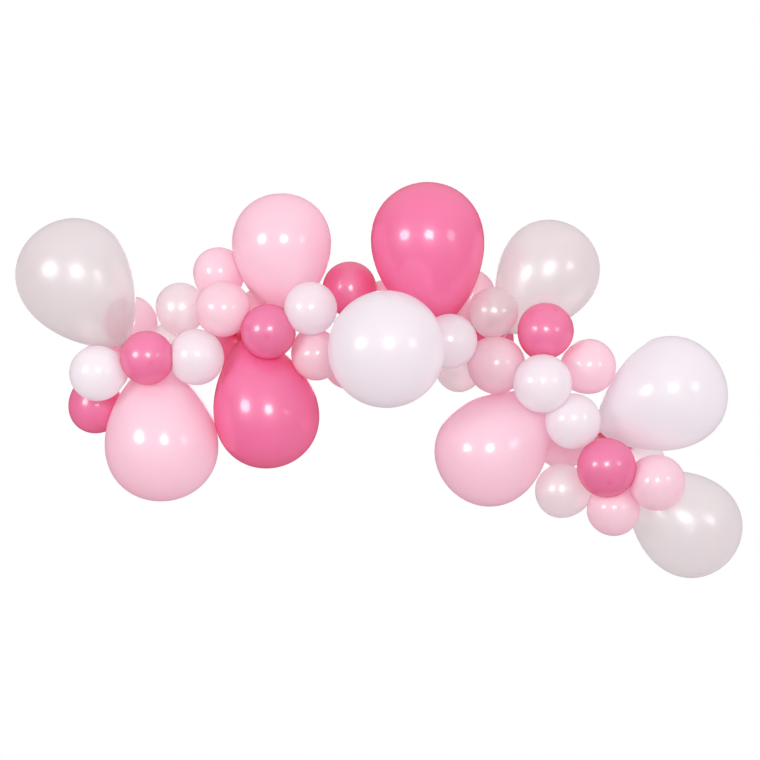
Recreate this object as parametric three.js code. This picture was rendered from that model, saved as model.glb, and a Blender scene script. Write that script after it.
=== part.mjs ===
// Balloon garland: an arch of large and small latex balloons, knotted into a clear tape.
// Millimetres, +X to the viewer's right, +Z up. The front faces -Y.
// The origin is on the tape's back, where it hangs.

import * as THREE from 'three';

// Balloons. A body is widest at its place in the list below, and narrows from there toward its neck.
const sizes = {
  large: {
    across: 252,
    long: 318,
    taper: 0.55,
    tiltsOfRings: [22, 45, 68, 91, 114, 137, 157],
    sidesOfRings: [7, 13, 16, 16, 16, 13, 10],
    neckSides: 5,
  },
  small: {
    across: 124,
    long: 134,
    taper: 0.25,
    tiltsOfRings: [28, 55, 82, 109, 135, 158],
    sidesOfRings: [6, 10, 12, 11, 10, 5],
    neckSides: 5,
  },
};
const neckDiameter = 6;
const knotDiameter = 13;
const knotLength = 7;
const tailLength = 12;
const lipDiameter = 12;

// Tape: a flat strip that curves within the plane of the arch, with a row of holes.
const tapeWidth = 14;
const tapeThickness = 1;
const holeCount = 53;
const holeDiameter = 8.4;
const holeSides = 5;
const endTab = 24;
const tapeSteps = 60;

// The garland hangs from the tape's back, here among its holes: midway between two empty ones.
const hangingPlace = 27.5;

// A neck leaves its hole square to the tape, and turns toward its balloon at this distance.
const neckStandoff = 5;

// Touching pieces keep this gap.
const gap = 0.3;

// The tape's route from the left end to the right end, [x, z].
const tapeRoute = [
  [-640, -102],
  [-545, -85],
  [-460, -65],
  [-345, -40],
  [-230, -20],
  [-115, -5],
  [0, 0],
  [115, -20],
  [230, -45],
  [345, -75],
  [440, -125],
  [505, -190],
  [560, -265],
  [597, -313],
  [622, -346],
  [622, -378],
  [603, -402],
  [583, -412],
];

// Each balloon: its hole counted from the left end, size, colour, [x, y, z] of its widest section's centre,
// its diameter as a share of the usual one, and its length as a share of what that diameter gives.
const balloons = [
  [0, 'small', 'hot_pink', [-590, 40, -200], 1.03, 1],
  [1, 'small', 'white', [-567, -85, -123], 1.01, 1],
  [2, 'small', 'light_pink', [-581, 88, -109], 1.0, 1],
  [3, 'small', 'light_pink', [-515, 85, -3], 1.01, 1],
  [4, 'large', 'pearl', [-630, -30, 101], 1.03, 1],
  [5, 'small', 'hot_pink', [-454, -95, -88], 0.98, 1],
  [6, 'large', 'light_pink', [-431, -15, -288], 1.025, 1],
  [7, 'small', 'pearl', [-425, 88, -67], 1.01, 1],
  [8, 'small', 'pearl', [-394, 45, 31], 0.95, 1],
  [10, 'small', 'white', [-346, -76, -87], 1.02, 1],
  [11, 'small', 'light_pink', [-303, 25, 111], 0.97, 1],
  [12, 'small', 'light_pink', [-286, -75, 24], 1.01, 1],
  [13, 'small', 'hot_pink', [-271, 88, -59], 0.97, 1],
  [14, 'large', 'hot_pink', [-191, -14, -217], 0.955, 1.04],
  [15, 'small', 'light_pink', [-207, 85, 20], 0.97, 1],
  [16, 'small', 'hot_pink', [-182, -88, -29], 1.0, 1],
  [17, 'large', 'light_pink', [-156, -10, 177], 0.905, 1],
  [18, 'small', 'light_pink', [-74, -50, -82], 0.935, 1],
  [19, 'small', 'white', [-87, -95, 23], 0.965, 1],
  [22, 'small', 'light_pink', [0, 50, -99], 1.01, 1],
  [23, 'small', 'hot_pink', [-2, 50, 77], 1.01, 1],
  [25, 'small', 'light_pink', [84, 92, 36], 1.01, 1],
  [26, 'large', 'white', [83, -215, -71], 1.01, 1],
  [29, 'small', 'pearl', [254, 45, -111], 0.9, 1],
  [30, 'large', 'hot_pink', [177, -45, 177], 1.025, 1.055],
  [31, 'small', 'white', [226, -88, -51], 1.0, 1],
  [32, 'small', 'light_pink', [275, 55, 61], 1.01, 1],
  [33, 'small', 'light_pink', [333, -66, -105], 1.05, 1],
  [34, 'small', 'pearl', [326, -68, 17], 0.9, 1],
  [35, 'large', 'pearl', [461, 30, 117], 0.92, 1],
  [36, 'small', 'hot_pink', [320, 88, -41], 1.01, 1],
  [38, 'small', 'hot_pink', [443, -75, -26], 1.02, 1],
  [39, 'small', 'white', [432, -115, -146], 1.06, 1],
  [40, 'small', 'light_pink', [544, -50, -107], 1.01, 1],
  [41, 'large', 'light_pink', [317, -30, -303], 0.975, 1],
  [43, 'small', 'white', [503, -90, -231], 1.01, 1],
  [44, 'small', 'light_pink', [497, 80, -282], 1.04, 1],
  [45, 'small', 'hot_pink', [616, 92, -262], 1.01, 1],
  [46, 'large', 'white', [735, -32, -166], 1.02, 0.97],
  [47, 'small', 'hot_pink', [577, -100, -335], 1.07, 1],
  [48, 'small', 'pearl', [680, 112, -331], 1.0, 1],
  [49, 'small', 'light_pink', [692, -96, -369], 1.01, 1],
  [50, 'large', 'pearl', [789, 34, -478], 0.935, 1],
  [51, 'small', 'light_pink', [598, -55, -433], 0.96, 1],
  [52, 'small', 'pearl', [483, -30, -391], 1.0, 1],
];

const colours = {
  hot_pink: { color: 0xef5c97, roughness: 0.25, metalness: 0 },
  light_pink: { color: 0xf9bfd2, roughness: 0.25, metalness: 0 },
  white: { color: 0xf2ecf0, roughness: 0.25, metalness: 0 },
  pearl: { color: 0xdfd6da, roughness: 0.2, metalness: 0 },
  tape: { color: 0xe8eef2, roughness: 0.15, metalness: 0 },
};

const backward = new THREE.Vector3(0, 1, 0);
const up = new THREE.Vector3(0, 0, 1);
// An axis steeper than this has its rings start from the X direction, and any other from the Z direction.
const steepest = 0.9;

// The tape's centre line on its back face, and the holes along it.
const routePoints = tapeRoute.map(([x, z]) => new THREE.Vector3(x, 0, z));
const route = new THREE.CatmullRomCurve3(routePoints, false, 'centripetal');
route.arcLengthDivisions = 2000;
const routeLength = route.getLength();
const holePitch = (routeLength - 2 * endTab) / (holeCount - 1);
const holeAt = (index) => route.getPointAt((endTab + index * holePitch) / routeLength);
const acrossTape = (share) => route.getTangentAt(share).cross(backward).normalize();

// A body's radius as a share of its widest. Its tilt runs from 0 at the crown to pi at the neck.
const bodyRadius = (tilt, taper) => {
  const widest = Math.acos(taper / (2 + taper));
  const shape = (angle) => Math.sin(angle) * Math.cos(angle / 2) ** taper;
  return shape(tilt) / shape(widest);
};
const bodyAlong = (tilt, taper, long) => (long / 2) * (taper / (2 + taper) - Math.cos(tilt));

// Everything that a balloon's place in the list says about it.
function layOut([holeNumber, size, colour, place, swell, stretch]) {
  const { across, long, taper } = sizes[size];
  const centre = new THREE.Vector3(...place);
  const hole = holeAt(holeNumber);
  const side = centre.y < 0 ? -1 : 1;
  const nearFace = side < 0 ? -tapeThickness : 0;
  const entry = hole.clone().setY(nearFace);
  const mouth = entry.clone().addScaledVector(backward, side * neckStandoff);
  const axis = mouth.clone().sub(centre).normalize();
  const length = long * swell * stretch;
  const tip = centre.clone().addScaledVector(axis, bodyAlong(Math.PI, taper, length));
  return {
    size,
    colour,
    centre,
    axis,
    side,
    entry,
    mouth,
    tip,
    taper,
    length,
    radius: (across * swell) / 2,
  };
}

// The search for the plane between two balloons: the outline is tried at this many degrees apart,
// and the plane's direction is turned by these shares of a radian.
const reachStep = 6;
const widestTurn = 0.4;
const smallestTurn = 0.02;

// How far the unpressed body reaches from its centre in a direction.
function reach(balloon, direction) {
  const along = direction.dot(balloon.axis);
  const aside = Math.sqrt(Math.max(0, 1 - along * along));
  let farthest = 0;
  for (let degrees = 0; degrees <= 180; degrees += reachStep) {
    const tilt = THREE.MathUtils.degToRad(degrees);
    const out = balloon.radius * bodyRadius(tilt, balloon.taper) * aside;
    farthest = Math.max(farthest, out + bodyAlong(tilt, balloon.taper, balloon.length) * along);
  }
  return farthest;
}

// The direction from one balloon to another in which they overlap least.
// It is found by trying turns of shrinking size.
function leastOverlap(first, second) {
  const between = second.centre.clone().sub(first.centre);
  const overlapAlong = (way) => reach(first, way) + reach(second, way.clone().negate()) - between.dot(way);
  let best = between.clone().normalize();
  let least = overlapAlong(best);
  for (let step = widestTurn; step > smallestTurn; step /= 2) {
    for (const [right, rise] of [[1, 0], [-1, 0], [0, 1], [0, -1], [1, 0], [0, 1]]) {
      const level = new THREE.Vector3().crossVectors(best, up).normalize();
      const steep = new THREE.Vector3().crossVectors(level, best);
      const trial = best.clone().addScaledVector(level, right * step).addScaledVector(steep, rise * step);
      trial.normalize();
      const overlap = overlapAlong(trial);
      if (overlap < least) {
        least = overlap;
        best = trial;
      }
    }
  }
  return { way: best, overlap: least, apart: between.dot(best) };
}

// Two balloons that touch flatten against one plane between them. The plane keeps clear of the tips that
// the necks grow from.
function pressTogether(first, second) {
  const { way, overlap, apart } = leastOverlap(first, second);
  if (overlap + gap <= 0) return;
  const keep = (balloon, direction) => balloon.tip.clone().sub(balloon.centre).dot(direction) + neckDiameter;
  const back = way.clone().negate();
  const room = apart - gap;
  let share = reach(first, way) - (overlap + gap) / 2;
  share = Math.min(share, room - keep(second, back));
  share = Math.max(share, keep(first, way));
  first.planes.push({ way, distance: share });
  second.planes.push({ way: back, distance: room - share });
}

// A balloon yields to a thin thing: it stays on its own side of the thin thing's nearest point.
function yieldTo(balloon, nearest, thickness) {
  const way = nearest.clone().sub(balloon.centre);
  const distance = way.length() - thickness - gap;
  if (distance < balloon.length) balloon.planes.push({ way: way.normalize(), distance });
}

// The straight lines that a balloon's neck, and its knot and tail, lie along.
function thinParts(balloon) {
  const { side, entry, mouth, tip } = balloon;
  const tailEnd = entry.clone().addScaledVector(backward, -side * (tapeThickness + knotLength + tailLength));
  return [
    { line: new THREE.Line3(tip, mouth), thickness: neckDiameter / 2 },
    { line: new THREE.Line3(mouth, tailEnd), thickness: knotDiameter / 2 },
  ];
}

// The point of a stretch of the tape that is nearest to a balloon's centre.
function nearestOnTape(start, end, centre) {
  const along = end.clone().sub(start);
  const across = new THREE.Vector3().crossVectors(along, backward).normalize();
  const from = centre.clone().sub(start);
  const share = THREE.MathUtils.clamp(from.dot(along) / along.lengthSq(), 0, 1);
  const aside = THREE.MathUtils.clamp(from.dot(across), -tapeWidth / 2, tapeWidth / 2);
  const nearest = start.clone().addScaledVector(along, share).addScaledVector(across, aside);
  return nearest.setY(THREE.MathUtils.clamp(centre.y, -tapeThickness, 0));
}

function pressAll(all) {
  const tapePoints = route.getSpacedPoints(tapeSteps);
  all.forEach((balloon) => {
    balloon.planes = [];
  });
  all.forEach((balloon, index) => {
    all.slice(index + 1).forEach((other) => pressTogether(balloon, other));
    tapePoints.slice(1).forEach((end, step) => {
      yieldTo(balloon, nearestOnTape(tapePoints[step], end, balloon.centre), 0);
    });
    all.filter((other) => other !== balloon).forEach((other) => {
      thinParts(other).forEach(({ line, thickness }) => {
        yieldTo(balloon, line.closestPointToPoint(balloon.centre, true, new THREE.Vector3()), thickness);
      });
    });
  });
}

// A point of the body, drawn in toward the centre where something presses on it.
function pressed(balloon, point) {
  const ray = point.clone().sub(balloon.centre);
  const share = balloon.planes.reduce((least, { way, distance }) => {
    const toward = ray.dot(way);
    return toward > distance ? Math.min(least, distance / toward) : least;
  }, 1);
  return balloon.centre.clone().addScaledVector(ray, share);
}

// Points of one ring about a centre, square to its heading. The first lies toward the reference direction.
function ringPoints(centre, heading, reference, radius, sides) {
  const first = reference.clone().addScaledVector(heading, -reference.dot(heading)).normalize();
  const second = new THREE.Vector3().crossVectors(heading, first);
  return Array.from({ length: sides }, (_, index) => {
    const angle = (2 * Math.PI * index) / sides;
    return centre.clone()
      .addScaledVector(first, radius * Math.cos(angle))
      .addScaledVector(second, radius * Math.sin(angle));
  });
}

// A closed skin over a row of rings that may differ in their number of points. The first ring is one point.
function skin(rings) {
  const points = rings.flat();
  const faces = [];
  let first = 0;
  rings.slice(1).forEach((next, index) => {
    const ring = rings[index];
    const second = first + ring.length;
    const last = ring.length === 1 ? 0 : ring.length;
    let here = 0;
    let there = 0;
    while (here < last || there < next.length) {
      const a = first + (here % ring.length);
      const b = second + (there % next.length);
      const hereIsNext = here < last && (here + 1) / last <= (there + 1) / next.length;
      const stepHere = there === next.length || hereIsNext;
      const c = stepHere ? first + ((here + 1) % ring.length) : second + ((there + 1) % next.length);
      faces.push(a, c, b);
      if (stepHere) here += 1;
      else there += 1;
    }
    first = second;
  });
  const end = rings.at(-1);
  for (let index = 1; index < end.length - 1; index += 1) faces.push(first, first + index, first + index + 1);
  const geometry = new THREE.BufferGeometry().setFromPoints(points);
  geometry.setIndex(faces);
  geometry.computeVertexNormals();
  return geometry;
}

// One balloon: its body from the crown to the tip, then its neck, and beyond the hole its knot and tail.
function balloonGeometry(balloon) {
  const { centre, axis, taper, length, radius, entry, mouth, side } = balloon;
  const { tiltsOfRings, sidesOfRings, neckSides } = sizes[balloon.size];
  const reference = Math.abs(axis.z) < steepest ? up : new THREE.Vector3(1, 0, 0);
  const crown = centre.clone().addScaledVector(axis, bodyAlong(0, taper, length));
  const rings = [[pressed(balloon, crown)]];
  tiltsOfRings.forEach((degrees, index) => {
    const tilt = THREE.MathUtils.degToRad(degrees);
    const middle = centre.clone().addScaledVector(axis, bodyAlong(tilt, taper, length));
    const ring = ringPoints(middle, axis, reference, radius * bodyRadius(tilt, taper), sidesOfRings[index]);
    rings.push(ring.map((point) => pressed(balloon, point)));
  });
  const neck = (middle, heading, diameter) => {
    rings.push(ringPoints(middle, heading, reference, diameter / 2, neckSides));
  };
  const inward = backward.clone().multiplyScalar(-side);
  neck(balloon.tip, axis, neckDiameter);
  neck(mouth, axis.clone().add(inward).normalize(), neckDiameter);
  const beyond = (distance) => entry.clone().addScaledVector(inward, tapeThickness + gap + distance);
  neck(beyond(0), inward, neckDiameter);
  neck(beyond(knotLength / 2), inward, knotDiameter);
  neck(beyond(knotLength), inward, neckDiameter);
  neck(beyond(knotLength + tailLength), inward, lipDiameter);
  return skin(rings);
}

// The tape: its outline runs along one edge and back along the other, with a hole for each balloon's neck.
function tapeGeometry() {
  const edge = (side) => Array.from({ length: tapeSteps + 1 }, (_, step) => {
    const share = step / tapeSteps;
    return route.getPointAt(share).addScaledVector(acrossTape(share), (side * tapeWidth) / 2);
  });
  const flat = ({ x, z }) => new THREE.Vector2(x, z);
  const outline = new THREE.Shape([...edge(-1).map(flat), ...edge(1).reverse().map(flat)]);
  Array.from({ length: holeCount }, (_, number) => holeAt(number)).forEach(({ x, z }) => {
    const rim = Array.from({ length: holeSides }, (unused, corner) => {
      const angle = (2 * Math.PI * corner) / holeSides;
      const radius = holeDiameter / 2;
      return new THREE.Vector2(x + radius * Math.cos(angle), z + radius * Math.sin(angle));
    });
    outline.holes.push(new THREE.Path(rim));
  });
  const geometry = new THREE.ExtrudeGeometry(outline, { depth: tapeThickness, bevelEnabled: false });
  return geometry.rotateX(Math.PI / 2);
}

function addPiece(group, name, geometry, colour) {
  const mesh = new THREE.Mesh(geometry, new THREE.MeshStandardMaterial(colours[colour]));
  mesh.name = name;
  group.add(mesh);
}

const garland = new THREE.Group();
garland.position.copy(holeAt(hangingPlace)).negate();

addPiece(garland, 'garland_tape', tapeGeometry(), 'tape');

const all = balloons.map(layOut);
pressAll(all);
const counts = {};
all.forEach((balloon) => {
  const kind = `${balloon.size}_${balloon.colour}`;
  counts[kind] = (counts[kind] ?? 0) + 1;
  const number = String(counts[kind]).padStart(2, '0');
  addPiece(garland, `${kind}_${number}`, balloonGeometry(balloon), balloon.colour);
});

export default garland;
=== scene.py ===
# Balloon garland: an arch of large and small latex balloons, each knotted into a hole of a clear tape.
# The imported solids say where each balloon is, which way it points and how far it is blown up.

import math

import bmesh
import bpy
import numpy as np
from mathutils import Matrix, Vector


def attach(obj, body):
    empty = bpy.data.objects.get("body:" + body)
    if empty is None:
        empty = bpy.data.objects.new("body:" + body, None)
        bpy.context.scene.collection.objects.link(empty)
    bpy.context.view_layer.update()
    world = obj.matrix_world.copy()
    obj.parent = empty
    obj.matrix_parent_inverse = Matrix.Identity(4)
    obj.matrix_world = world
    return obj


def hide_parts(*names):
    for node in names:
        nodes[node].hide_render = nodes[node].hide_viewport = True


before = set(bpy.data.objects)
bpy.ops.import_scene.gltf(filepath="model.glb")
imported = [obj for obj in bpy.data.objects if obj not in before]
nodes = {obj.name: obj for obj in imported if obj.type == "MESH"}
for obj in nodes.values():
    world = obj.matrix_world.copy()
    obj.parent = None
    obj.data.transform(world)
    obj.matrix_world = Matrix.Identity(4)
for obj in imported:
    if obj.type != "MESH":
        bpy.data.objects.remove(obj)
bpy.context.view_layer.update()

# Garland tape
# A strip of clear PVC, 14 mm wide and 1 mm thick, punched with a row of round holes and bent into the arch.
# Each balloon's knot is pulled through one hole, and both ends are left plain to stick or tie down.

tape_width = 0.014
tape_thickness = 0.001
hole_count = 53
hole_diameter = 0.0084
end_tab = 0.024
# The part hangs by the plain tape halfway between two of its holes.
hanging_place = 27.5
tape_route = [
    (-0.640, -0.102), (-0.545, -0.085), (-0.460, -0.065), (-0.345, -0.040), (-0.230, -0.020),
    (-0.115, -0.005), (0.000, 0.000), (0.115, -0.020), (0.230, -0.045), (0.345, -0.075),
    (0.440, -0.125), (0.505, -0.190), (0.560, -0.265), (0.597, -0.313), (0.622, -0.346),
    (0.622, -0.378), (0.603, -0.402), (0.583, -0.412),
]
steps_between_points = 60


def smooth_route(points, steps):
    """Points along a centripetal Catmull-Rom curve, close together, in order."""
    points = [np.array(p) for p in points]
    points = [2 * points[0] - points[1], *points, 2 * points[-1] - points[-2]]
    curve = []
    for a, b, c, d in zip(points, points[1:], points[2:], points[3:]):
        ta = 0.0
        tb = ta + math.sqrt(np.linalg.norm(b - a))
        tc = tb + math.sqrt(np.linalg.norm(c - b))
        td = tc + math.sqrt(np.linalg.norm(d - c))
        for t in np.linspace(tb, tc, steps, endpoint=False):
            ab = a + (b - a) * (t - ta) / (tb - ta)
            bc = b + (c - b) * (t - tb) / (tc - tb)
            cd = c + (d - c) * (t - tc) / (td - tc)
            abc = ab + (bc - ab) * (t - ta) / (tc - ta)
            bcd = bc + (cd - bc) * (t - tb) / (td - tb)
            curve.append(abc + (bcd - abc) * (t - tb) / (tc - tb))
    return np.array([*curve, points[-2]])


route = smooth_route(tape_route, steps_between_points)
route_runs = np.concatenate([[0], np.cumsum(np.linalg.norm(np.diff(route, axis=0), axis=1))])
route_length = route_runs[-1]
hole_pitch = (route_length - 2 * end_tab) / (hole_count - 1)


def along_route(run):
    """Where the tape is, to the right and up, after a run along it from its left end."""
    return np.array([np.interp(run, route_runs, route[:, 0]), np.interp(run, route_runs, route[:, 1])])


hang_point = along_route(end_tab + hanging_place * hole_pitch)


def linear(hex_colour):
    """An sRGB hex colour as the linear values that shaders take."""
    channels = [int(hex_colour[i:i + 2], 16) / 255 for i in (1, 3, 5)]
    return [c / 12.92 if c <= 0.04045 else ((c + 0.055) / 1.055) ** 2.4 for c in channels] + [1.0]


def add_node(tree, kind, settings=None, links=None):
    """A shader node. Settings are its properties or its sockets' values, and links feed its sockets."""
    node = tree.nodes.new(kind)
    for name, value in (settings or {}).items():
        if isinstance(name, str) and hasattr(node, name):
            setattr(node, name, value)
        else:
            node.inputs[name].default_value = value
    for name, source in (links or {}).items():
        tree.links.new(source, node.inputs[name])
    return node


def new_material(name):
    material = bpy.data.materials.new(name)
    material.use_nodes = True
    material.node_tree.nodes.clear()
    return material, material.node_tree


def select_only(piece):
    bpy.ops.object.select_all(action="DESELECT")
    piece.select_set(True)
    bpy.context.view_layer.objects.active = piece


# The tape starts as one flat cell round one hole: the ring of the hole, drawn out to the cell's rectangle.
hole_sides = 24
merge_distance = 1e-5
bpy.ops.object.select_all(action="DESELECT")
bpy.ops.mesh.primitive_circle_add(
    vertices=hole_sides, radius=hole_diameter / 2, rotation=(math.pi / 2, 0, 0),
)
tape = bpy.context.object
tape.name = "clear_tape"
bpy.ops.object.transform_apply(rotation=True)
bpy.ops.object.mode_set(mode="EDIT")
bpy.ops.mesh.select_all(action="SELECT")
bpy.ops.mesh.extrude_region_move()
bpy.ops.transform.resize(value=(2, 2, 2))
bpy.ops.object.mode_set(mode="OBJECT")
half_cell = np.array([hole_pitch / 2, tape_width / 2])
between_rings = hole_diameter * 0.75
near_corner = 0.72
for vertex in tape.data.vertices:
    flat = np.array([vertex.co.x, vertex.co.z])
    if np.linalg.norm(flat) > between_rings:
        flat *= np.min(half_cell / np.maximum(np.abs(flat), 1e-9))
        # Each corner of the cell takes up the points of the ring that are nearest to it.
        share = np.abs(flat) / half_cell
        flat = np.where(share > near_corner, np.sign(flat) * half_cell, flat)
        vertex.co = (flat[0], 0, flat[1])
select_only(tape)
row = tape.modifiers.new("row of holes", "ARRAY")
row.count = hole_count
row.use_relative_offset = False
row.use_constant_offset = True
row.constant_offset_displace = (hole_pitch, 0, 0)
row.use_merge_vertices = True
row.merge_threshold = merge_distance
bpy.ops.object.modifier_apply(modifier=row.name)
# Both end tabs run on from the outermost cells, then the strip gets its thickness.
bpy.ops.object.mode_set(mode="EDIT")
for edge_run, tab_run in (
    (-hole_pitch / 2, -end_tab),
    ((hole_count - 0.5) * hole_pitch, (hole_count - 1) * hole_pitch + end_tab),
):
    strip = bmesh.from_edit_mesh(tape.data)
    for edge in strip.edges:
        edge.select_set(all(abs(v.co.x - edge_run) < merge_distance for v in edge.verts))
    bmesh.update_edit_mesh(tape.data)
    bpy.ops.mesh.extrude_region_move(TRANSFORM_OT_translate={"value": (tab_run - edge_run, 0, 0)})
bpy.ops.mesh.select_all(action="DESELECT")
bpy.ops.object.mode_set(mode="OBJECT")
thickness = tape.modifiers.new("thickness", "SOLIDIFY")
thickness.thickness = tape_thickness
thickness.offset = 0
bpy.ops.object.modifier_apply(modifier=thickness.name)
# The flat strip is laid along the route, with its back face in the plane that the part hangs from.
one_step = 0.001
for vertex in tape.data.vertices:
    run = np.clip(vertex.co.x + end_tab, 0, route_length)
    here = along_route(run)
    ahead = along_route(min(run + one_step, route_length)) - along_route(max(run - one_step, 0))
    ahead /= np.linalg.norm(ahead)
    place = here - hang_point + vertex.co.z * np.array([-ahead[1], ahead[0]])
    vertex.co = (place[0], vertex.co.y - tape_thickness / 2, place[1])
select_only(tape)
bpy.ops.object.mode_set(mode="EDIT")
bpy.ops.mesh.select_all(action="SELECT")
bpy.ops.mesh.normals_make_consistent(inside=False)
bpy.ops.object.mode_set(mode="OBJECT")

# Clear soft PVC: it takes its tint from what is behind it, and shows as a glossy edge. It is a little wavy.
waves_per_metre = 60.0
material, tree = new_material("clear PVC tape")
position = add_node(tree, "ShaderNodeTexCoord")
waviness = add_node(tree, "ShaderNodeTexNoise", {"Scale": waves_per_metre, "Detail": 2.0},
                    {"Vector": position.outputs["Object"]})
bump = add_node(tree, "ShaderNodeBump", {"Strength": 0.15, "Distance": 0.0005},
                {"Height": waviness.outputs["Fac"]})
shader = add_node(tree, "ShaderNodeBsdfPrincipled", {
    "Base Color": linear("#E8EEF2"),
    "Roughness": 0.12,
    "IOR": 1.53,
    "Alpha": 0.2,
}, {"Normal": bump.outputs["Normal"]})
add_node(tree, "ShaderNodeOutputMaterial", links={"Surface": shader.outputs["BSDF"]})
tape.data.materials.append(material)
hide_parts("garland_tape")
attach(tape, "root")

# Balloons
# Each is one dipped latex balloon: a round crown with a thick spot, a body that narrows to its neck, a knot
# and a short tail with a rolled lip. Where two touch, the one in front stays round and the other gives way.

# A solid's rings of points lie at these tilts, in degrees from its crown. The segments and rings are those of
# the finer body that is modelled here.
sizes = {
    "large": {"taper": 0.55, "tilts": (22, 45, 68, 91, 114, 137, 157), "segments": 80, "rings": 56},
    "small": {"taper": 0.25, "tilts": (28, 55, 82, 109, 135, 158), "segments": 52, "rings": 38},
}
neck_radius = 0.003
knot_radius = 0.0062
knot_length = 0.007
tail_length = 0.0115
lip_radius = 0.0048
lip_bead = 0.0009
contact_gap = 0.0003
contact_softness = 0.0012
dent_softness = 0.004


def unit(vector):
    return vector / np.linalg.norm(vector)


def body_radius(tilt, taper):
    """A body's radius as a share of its widest, at a tilt of 0 at the crown to pi at the neck."""
    widest = math.acos(taper / (2 + taper))
    return np.sin(tilt) * np.cos(tilt / 2) ** taper / (math.sin(widest) * math.cos(widest / 2) ** taper)


def body_along(tilt, taper, length):
    """How far towards the neck a tilt's section lies from the widest one."""
    return (length / 2) * (taper / (2 + taper) - np.cos(tilt))


def rings_of(node):
    """A balloon solid's rings of points, from its crown to the end of its tail."""
    solid = bmesh.new()
    solid.from_mesh(node.data)
    bmesh.ops.remove_doubles(solid, verts=solid.verts, dist=merge_distance)

    def layers(start):
        found, seen = [[start]], {start}
        while found[-1]:
            reached = {edge.other_vert(v) for v in found[-1] for edge in v.link_edges} - seen
            seen |= reached
            found.append(sorted(reached, key=lambda v: v.index))
        return found[:-1]

    solid.verts.index_update()
    middle = sum((v.co for v in solid.verts), Vector()) / len(solid.verts)
    far_end = max(solid.verts, key=lambda v: (v.co - middle).length)
    from_far_end = layers(far_end)
    crown = from_far_end[-1][0] if len(from_far_end[-1]) == 1 else far_end
    rings = [np.array([v.co for v in layer]) for layer in layers(crown)]
    solid.free()
    return rings


def measure(node):
    """What a balloon's solid says: its size, centre, axis, length, radius, and the way its neck runs."""
    size = node.name.split("_")[0]
    taper = sizes[size]["taper"]
    tilts = np.radians(sizes[size]["tilts"])
    rings = rings_of(node)
    tip, mouth, entry, knot = (ring.mean(axis=0) for ring in rings[len(tilts) + 1:len(tilts) + 5])
    axis = unit(tip - rings[0][0])
    # What presses on a body draws it in toward its centre, so each ring's farthest points are the free ones.
    body_rings = list(zip(tilts, rings[1:]))
    crown_rings = [(tilt, ring) for tilt, ring in body_rings if math.cos(tilt) > taper / (2 + taper)]
    length = max(2 * np.max((tip - ring) @ axis) / (1 + math.cos(tilt)) for tilt, ring in crown_rings)
    radius = 0
    for tilt, ring in body_rings:
        aside = ring - tip - np.outer((ring - tip) @ axis, axis)
        radius = max(radius, np.max(np.linalg.norm(aside, axis=1)) / body_radius(tilt, taper))
    centre = tip - axis * body_along(math.pi, taper, length)
    return {
        "name": node.name, "size": size, "taper": taper,
        "centre": centre, "axis": axis, "length": length, "radius": radius,
        "tip": tip, "mouth": mouth, "entry": entry, "inward": unit(knot - entry), "presses": [],
    }


balloons = [measure(nodes[name]) for name in sorted(nodes) if name != "garland_tape"]
outline_tilts = np.radians(np.arange(0, 181, 4))
# The share of a ray that stands for all of it and more, where nothing presses.
all_free = 5.0
first_turn = 0.4
last_turn = 0.02
ray_steps = 32
halvings = 7


def reach(balloon, way):
    """How far the unpressed body reaches from its centre in a direction."""
    along = way @ balloon["axis"]
    aside = math.sqrt(max(0, 1 - along * along))
    out = balloon["radius"] * body_radius(outline_tilts, balloon["taper"]) * aside
    return np.max(out + body_along(outline_tilts, balloon["taper"], balloon["length"]) * along)


def least_overlap(first, second):
    """How much two unpressed bodies overlap in the direction in which they overlap least."""
    between = second["centre"] - first["centre"]

    def overlap(way):
        return reach(first, way) + reach(second, -way) - between @ way

    best = unit(between)
    least = overlap(best)
    turn = first_turn
    while turn > last_turn:
        for right, rise in ((1, 0), (-1, 0), (0, 1), (0, -1), (1, 0), (0, 1)):
            level = unit(np.cross(best, (0, 0, 1)))
            trial = unit(best + level * right * turn + np.cross(level, best) * rise * turn)
            if overlap(trial) < least:
                least, best = overlap(trial), trial
        turn /= 2
    return least


def inside(balloon, points):
    """Which points lie within a balloon's unpressed body, or closer to it than the gap."""
    from_centre = points - balloon["centre"]
    along = from_centre @ balloon["axis"]
    aside = np.sqrt(np.maximum(np.sum(from_centre ** 2, axis=-1) - along ** 2, 0))
    level = balloon["taper"] / (2 + balloon["taper"]) - 2 * along / balloon["length"]
    room = balloon["radius"] * body_radius(np.arccos(np.clip(level, -1, 1)), balloon["taper"])
    return (np.abs(level) < 1) & (aside < room + contact_gap)


def free_share(centre, rays, balloon):
    """How much of each ray from a centre is free before it meets another balloon's body."""
    steps = np.linspace(0, 1, ray_steps + 1)[1:]
    met = np.stack([inside(balloon, centre + rays * step) for step in steps])
    first = np.argmax(met, axis=0)
    high = np.where(met.any(axis=0), steps[first], all_free)
    low = high - steps[0]
    for _ in range(halvings):
        half = (low + high) / 2
        hit = inside(balloon, centre + rays * half[:, None])
        high = np.where(hit, half, high)
        low = np.where(hit, low, half)
    return np.where(met.any(axis=0), low, all_free)


for balloon in balloons:
    balloon["gives_way_to"] = [
        other for other in balloons
        if other["centre"][1] < balloon["centre"][1] and least_overlap(balloon, other) > -contact_gap
    ]
    for other in balloons:
        if other is not balloon:
            tail_end = other["entry"] + other["inward"] * (knot_length + tail_length)
            for start, end, thickness in (
                (other["tip"], other["mouth"], neck_radius), (other["mouth"], tail_end, knot_radius),
            ):
                # A body keeps to its own side of another balloon's neck and tail.
                line = end - start
                share = np.clip((balloon["centre"] - start) @ line / (line @ line), 0, 1)
                way = start + line * share - balloon["centre"]
                distance = np.linalg.norm(way) - thickness - contact_gap
                if distance < balloon["length"]:
                    balloon["presses"].append((unit(way), distance))


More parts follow.
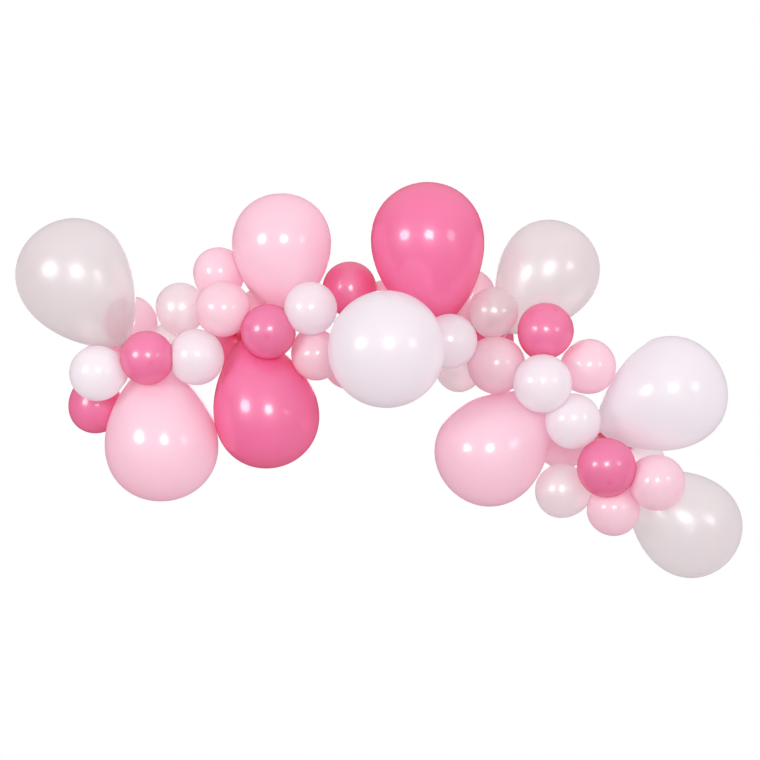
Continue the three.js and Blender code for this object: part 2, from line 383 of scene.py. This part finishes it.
# The neck, knot, tail and lip are rings beyond the body. Each has its stretch, how far along it lies, as a
# share of the neck or in metres from the hole, and its radius. The last three run back inside the lip.
neck_rings = [("neck", share, neck_radius) for share in np.linspace(0.12, 1, 8)]
neck_rings += [
    ("tail", knot_length * turn / math.pi, neck_radius + (knot_radius - neck_radius) * math.sin(turn))
    for turn in np.linspace(0.3, math.pi, 8)
]
neck_rings += [
    ("tail", knot_length + tail_length * share, neck_radius + (lip_radius - neck_radius) * share ** 1.4)
    for share in (0.15, 0.35, 0.55, 0.75, 0.9)
]
neck_rings += [
    ("tail", knot_length + tail_length - lip_bead * math.cos(turn), lip_radius + lip_bead * math.sin(turn))
    for turn in np.radians((20, 60, 100, 140, 180))
]
neck_rings += [
    ("tail", knot_length + tail_length * share, lip_radius * width)
    for share, width in ((0.9, 0.82), (0.7, 0.66), (0.5, 0.4))
]
# On the unplaced model the rings are this far apart, which tells them from each other.
ring_step = 0.05
lobe_depth = 0.06
lobe_twist = 900
# However hard a body is pressed, this share of each ray from its centre is left.
least_share = 0.02


def model_balloon(size):
    """The balloon as it comes off the mould, of unit radius along Z: crown up, neck and tail below."""
    segments, ring_count = sizes[size]["segments"], sizes[size]["rings"]
    bpy.ops.object.select_all(action="DESELECT")
    bpy.ops.mesh.primitive_uv_sphere_add(segments=segments, ring_count=ring_count, radius=1)
    model = bpy.context.object
    bpy.ops.object.mode_set(mode="EDIT")
    bpy.ops.mesh.select_all(action="DESELECT")
    body = bmesh.from_edit_mesh(model.data)
    lowest = min(body.verts, key=lambda v: v.co.z)
    rim = [edge.other_vert(lowest) for edge in lowest.link_edges]
    bmesh.ops.delete(body, geom=[lowest], context="VERTS")
    for vertex in rim:
        vertex.select_set(True)
    body.select_flush_mode()
    for edge in body.edges:
        edge.select_set(all(v in rim for v in edge.verts))
    bmesh.update_edit_mesh(model.data)
    for ring in neck_rings:
        bpy.ops.mesh.extrude_region_move(TRANSFORM_OT_translate={"value": (0, 0, -ring_step)})
    bpy.ops.mesh.edge_face_add()
    bpy.ops.object.mode_set(mode="OBJECT")
    return model


def soft_least(shares, softness):
    """The least of several rows of shares and 1, point by point, with the corners between them rounded."""
    rest = np.ones_like(shares[0])
    total = sum((np.exp((1 - np.clip(share, 0, all_free)) / softness) for share in shares), rest)
    return np.clip(1 - softness * np.log(total), least_share, 1)


def pressed(balloon, points):
    """Points of the body, drawn in towards its centre where something presses on it."""
    rays = points - balloon["centre"]
    dents = [np.full(len(rays), all_free)]
    for way, distance in balloon["presses"]:
        toward = rays @ way
        dents.append(np.where(toward > distance / all_free, distance / np.maximum(toward, 1e-6), all_free))
    rays = rays * soft_least(dents, dent_softness / balloon["radius"])[:, None]
    contacts = [np.full(len(rays), all_free)]
    contacts += [free_share(balloon["centre"], rays, other) for other in balloon["gives_way_to"]]
    rays = rays * soft_least(contacts, contact_softness / balloon["radius"])[:, None]
    return balloon["centre"] + rays


spot_depth = 0.35
spot_radius = 0.005
shoulder_tilt = 2.1


def place_balloon(balloon, model):
    """One balloon: a copy of the model, blown up, turned, pressed and tied at its own place."""
    mesh = model.data.copy()
    piece = bpy.data.objects.new("balloon_" + balloon["name"], mesh)
    bpy.context.scene.collection.objects.link(piece)
    local = np.empty(len(mesh.vertices) * 3, np.float32)
    mesh.vertices.foreach_get("co", local)
    local = local.reshape(-1, 3).astype(float)
    axis, taper = balloon["axis"], balloon["taper"]
    across = unit(np.cross(axis, (0, 0, 1) if abs(axis[2]) < 0.9 else (1, 0, 0)))
    other = np.cross(axis, across)
    angle = np.arctan2(local[:, 1], local[:, 0])
    rim_height = -math.cos(math.pi / sizes[balloon["size"]]["rings"])
    is_body = local[:, 2] > rim_height - ring_step / 2
    tilt = np.arccos(np.clip(local[:, 2], -1, 1))
    out = balloon["radius"] * body_radius(tilt, taper)
    # Past its widest section the body runs into its neck without a corner.
    neck_share = np.clip((tilt - math.pi / 2) / (math.pi / 2), 0, 1) ** 2
    out = np.sqrt(out ** 2 + (neck_radius * neck_share) ** 2)
    spread = np.cos(angle)[:, None] * across + np.sin(angle)[:, None] * other
    along = body_along(tilt, taper, balloon["length"])
    placed = balloon["centre"] + along[:, None] * axis + out[:, None] * spread
    placed[is_body] = pressed(balloon, placed[is_body])
    ring_number = np.round((rim_height - local[:, 2]) / ring_step).astype(int) - 1
    start, mouth, hole = balloon["tip"], balloon["mouth"], balloon["entry"]
    for number, (stretch, share, radius) in enumerate(neck_rings):
        members = (~is_body) & (ring_number == number)
        if stretch == "neck":
            middle = (1 - share) ** 2 * start + 2 * share * (1 - share) * mouth + share ** 2 * hole
            heading = unit((1 - share) * (mouth - start) + share * (hole - mouth))
        else:
            middle = hole + balloon["inward"] * share
            heading = balloon["inward"]
        first = unit(across - heading * (across @ heading))
        second = np.cross(heading, first)
        # Latex twisted in the knot leaves it a little lobed.
        lobes = np.ones(np.count_nonzero(members))
        if 0 < share < knot_length:
            lobes += lobe_depth * np.sin(2 * angle[members] + lobe_twist * share)
        turned = np.cos(angle[members])[:, None] * first + np.sin(angle[members])[:, None] * second
        placed[members] = middle + turned * (radius * lobes)[:, None]
    mesh.vertices.foreach_set("co", placed.astype(np.float32).ravel())
    # Thick latex is deeper in colour: the spot at the crown, and from the shoulder to the tail.
    spot = spot_depth * np.exp(-(tilt * balloon["radius"] / spot_radius) ** 2)
    shoulder = np.clip(tilt - shoulder_tilt, 0, 1) ** 2
    thickness = np.where(is_body, np.maximum(spot, shoulder), 1.0).astype(np.float32)
    mesh.attributes.new("latex_thickness", "FLOAT", "POINT").data.foreach_set("value", thickness)
    mesh.update()
    select_only(piece)
    bpy.ops.object.mode_set(mode="EDIT")
    bpy.ops.mesh.select_all(action="SELECT")
    bpy.ops.mesh.normals_make_consistent(inside=False)
    bpy.ops.object.mode_set(mode="OBJECT")
    bpy.ops.object.shade_smooth()
    return piece


# The cloudy patches in the latex are 40 mm apart, and where their noise is weak the colour stays as it is.
# The dust on the latex is drawn as coarse as it needs to show.
mottles_per_metre = 25.0
mottle_depth = 0.16
mottle_start = -0.05
dust_per_metre = 900.0
least_dulled = -0.03
most_dulled = 0.05
# Latex mirrors this share of the light that falls straight on it.
gloss = 0.043


def latex(name, thin, thick, glow, let_through, roughness, polish, alpha=1.0, mica=0.0):
    """Dipped natural rubber latex with a shiny outer face. Its colour deepens where the skin is thick.

    Part of the light goes through the skin, so a balloon glows from inside in a deeper colour. Flakes of mica
    give pearl latex its broad sheen.
    """
    material, tree = new_material(name)
    thickness = add_node(tree, "ShaderNodeAttribute", {"attribute_name": "latex_thickness"})
    position = add_node(tree, "ShaderNodeTexCoord")
    mottle = add_node(tree, "ShaderNodeTexNoise", {"Scale": mottles_per_metre, "Detail": 3.0},
                      {"Vector": position.outputs["Object"]})
    mottled = add_node(tree, "ShaderNodeMath", {
        "operation": "MULTIPLY_ADD", 1: mottle_depth, 2: mottle_start,
    }, {0: mottle.outputs["Fac"]})
    deepness = add_node(tree, "ShaderNodeMath", {"operation": "ADD", "use_clamp": True},
                        {0: thickness.outputs["Fac"], 1: mottled.outputs["Value"]})
    colour = add_node(tree, "ShaderNodeMix", {"data_type": "RGBA", 6: linear(thin), 7: linear(thick)},
                      {0: deepness.outputs["Value"]})
    dust = add_node(tree, "ShaderNodeTexNoise", {"Scale": dust_per_metre, "Detail": 2.0},
                    {"Vector": position.outputs["Object"]})
    rough = add_node(tree, "ShaderNodeMapRange", {
        "To Min": roughness + least_dulled, "To Max": roughness + most_dulled,
    }, {"Value": dust.outputs["Fac"]})
    # Over the latex's own broad, soft sheen lies the sharp one of its shiny face. It lies over the light that
    # comes through too, which isn't in this shader, so its share here is raised to make up.
    mirroring = math.sqrt(gloss / (1 - let_through) / alpha)
    shader = add_node(tree, "ShaderNodeBsdfPrincipled", {
        "IOR": 1.7,
        "Specular IOR Level": 1.0,
        "Metallic": mica,
        "Alpha": alpha,
        "Coat Weight": 0.8,
        "Coat IOR": (1 + mirroring) / (1 - mirroring),
        "Coat Roughness": polish,
    }, {"Base Color": colour.outputs[2], "Roughness": rough.outputs["Result"]})
    through = add_node(tree, "ShaderNodeBsdfTranslucent", {"Color": linear(glow)})
    skin = add_node(tree, "ShaderNodeMixShader", {0: let_through},
                    {1: shader.outputs["BSDF"], 2: through.outputs["BSDF"]})
    add_node(tree, "ShaderNodeOutputMaterial", links={"Surface": skin.outputs["Shader"]})
    return material


# Latex glows softly, with small sharp highlights. Blown up large it is thinner, and its colour is weaker.
# The small balloons' colours are also painted lighter, to make up for the shade they get between their
# neighbours.
latexes = {
    "large_hot_pink": latex(
        "hot pink latex, large", thin="#EC88C7", thick="#D41E76", glow="#FE2F80",
        let_through=0.45, roughness=0.43, polish=0.15,
    ),
    # Each small latex is painted lighter than its large one, partly for thicker latex and partly as painted
    # light.
    "small_hot_pink": latex(
        "hot pink latex, small, painted lighter", thin="#EF90CA", thick="#D41E76", glow="#FE3380",
        let_through=0.45, roughness=0.43, polish=0.15,
    ),
    "large_light_pink": latex(
        "light pink latex, large", thin="#F4E8F3", thick="#F4ACC8", glow="#FDCBDA",
        let_through=0.5, roughness=0.5, polish=0.15,
    ),
    "small_light_pink": latex(
        "light pink latex, small, painted lighter", thin="#FAEEF6", thick="#F8B4CC", glow="#FED4E1",
        let_through=0.5, roughness=0.5, polish=0.15,
    ),
    "large_white": latex(
        "white latex, large", thin="#EBECF1", thick="#EAE5EA", glow="#FAF1F5",
        let_through=0.5, roughness=0.5, polish=0.15,
    ),
    "small_white": latex(
        "white latex, small, painted lighter", thin="#F4F5F9", thick="#F0EAEF", glow="#FEF6FA",
        let_through=0.5, roughness=0.5, polish=0.15,
    ),
    "large_pearl": latex(
        "pearl latex, large", thin="#E8E2E4", thick="#DED4D8", glow="#EAE1E3",
        let_through=0.42, roughness=0.36, polish=0.19, alpha=0.5, mica=0.35,
    ),
    "small_pearl": latex(
        "pearl latex, small, painted lighter", thin="#F6EFF1", thick="#EDE1E5", glow="#FAEEF1",
        let_through=0.42, roughness=0.36, polish=0.19, alpha=0.58, mica=0.35,
    ),
}
colours = ("hot_pink", "light_pink", "white", "pearl")
models = {size: model_balloon(size) for size in sizes}
for balloon in balloons:
    colour = next(name for name in colours if name in balloon["name"])
    piece = place_balloon(balloon, models[balloon["size"]])
    piece.data.materials.append(latexes[balloon["size"] + "_" + colour])
    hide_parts(balloon["name"])
    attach(piece, "root")
for model in models.values():
    bpy.data.objects.remove(model)

# Light and camera
# Three round softboxes stand in front, in a half circle a little above the garland, and one stands behind.
# The room is white, and lighter behind and at the right. The balloons mirror mostly its ceiling.

softboxes = {
    "middle": {"azimuth": 3, "width": 1.0, "tall": 0.95, "watts": 41},
    "left": {"azimuth": -46, "width": 1.2, "tall": 1.0, "watts": 38},
    "right": {"azimuth": 46, "width": 0.9, "tall": 0.9, "watts": 10},
}
softbox_distance = 3.4
softbox_height = 0.45
softbox_aim = (0, 0, -0.1)


def add_softbox(name, place, width, tall, watts):
    data = bpy.data.lights.new("softbox " + name, "AREA")
    data.shape = "ELLIPSE"
    data.size, data.size_y = width, tall
    data.energy = watts
    light = bpy.data.objects.new("softbox_" + name, data)
    bpy.context.scene.collection.objects.link(light)
    light.location = place
    light.rotation_euler = (Vector(softbox_aim) - Vector(place)).to_track_quat("-Z", "Y").to_euler()
    light.visible_camera = False


for name, box in softboxes.items():
    turn = math.radians(box["azimuth"])
    place = (softbox_distance * math.sin(turn), -softbox_distance * math.cos(turn), softbox_height)
    add_softbox(name, place, box["width"], box["tall"], box["watts"])
add_softbox("back", (0, softbox_distance, 0.6), width=1.6, tall=1.2, watts=16)

room_light = 0.6
world = bpy.data.worlds.new("white room")
world.use_nodes = True
world.node_tree.nodes.clear()
rays = add_node(world.node_tree, "ShaderNodeLightPath")
seen = add_node(world.node_tree, "ShaderNodeBackground", {"Color": (1, 1, 1, 1), "Strength": 1.0})
direction = add_node(world.node_tree, "ShaderNodeTexCoord")
compass = add_node(world.node_tree, "ShaderNodeSeparateXYZ", links={0: direction.outputs["Generated"]})
from_behind = add_node(world.node_tree, "ShaderNodeMapRange", {
    "interpolation_type": "SMOOTHSTEP", "From Min": -0.2, "From Max": 0.5, "To Min": 0.0, "To Max": 0.5,
}, {"Value": compass.outputs["Y"]})
from_right = add_node(world.node_tree, "ShaderNodeMapRange", {
    "interpolation_type": "SMOOTHSTEP", "From Min": 0.0, "From Max": 0.9, "To Min": 0.0, "To Max": 0.55,
}, {"Value": compass.outputs["X"]})
walls = add_node(world.node_tree, "ShaderNodeMath", {"operation": "ADD"},
                 {0: from_behind.outputs["Result"], 1: from_right.outputs["Result"]})
brightness = add_node(world.node_tree, "ShaderNodeMath", {"operation": "ADD", 1: room_light},
                      {0: walls.outputs["Value"]})
ambient = add_node(world.node_tree, "ShaderNodeBackground", {"Color": (1, 1, 1, 1)},
                   {"Strength": brightness.outputs["Value"]})
ceiling = add_node(world.node_tree, "ShaderNodeMapRange", {
    "interpolation_type": "SMOOTHSTEP", "From Min": 0.1, "From Max": 0.9, "To Min": 0.12, "To Max": 0.8,
}, {"Value": compass.outputs["Z"]})
shine = add_node(world.node_tree, "ShaderNodeBackground", {"Color": (1, 1, 1, 1)},
                 {"Strength": ceiling.outputs["Result"]})
unseen = add_node(world.node_tree, "ShaderNodeMixShader", links={
    0: rays.outputs["Is Glossy Ray"], 1: ambient.outputs["Background"], 2: shine.outputs["Background"],
})
either = add_node(world.node_tree, "ShaderNodeMixShader", links={
    0: rays.outputs["Is Camera Ray"], 1: unseen.outputs["Shader"], 2: seen.outputs["Background"],
})
add_node(world.node_tree, "ShaderNodeOutputWorld", links={"Surface": either.outputs["Shader"]})
bpy.context.scene.world = world
bpy.context.scene.view_settings.view_transform = "Standard"

# The camera stands 4 m in front and looks straight back. At the tape it sees 1.748 m from side to side.
camera_distance = 4.0
seen_width = 1.748
picture_middle = (0.069, -0.138)
camera_data = bpy.data.cameras.new("camera")
camera_data.sensor_width = 36.0
camera_data.lens = camera_data.sensor_width * camera_distance / seen_width
camera = bpy.data.objects.new("camera", camera_data)
bpy.context.scene.collection.objects.link(camera)
camera.location = (
    picture_middle[0] - hang_point[0], -camera_distance, picture_middle[1] - hang_point[1],
)
camera.rotation_euler = (math.pi / 2, 0, 0)
bpy.context.scene.camera = camera
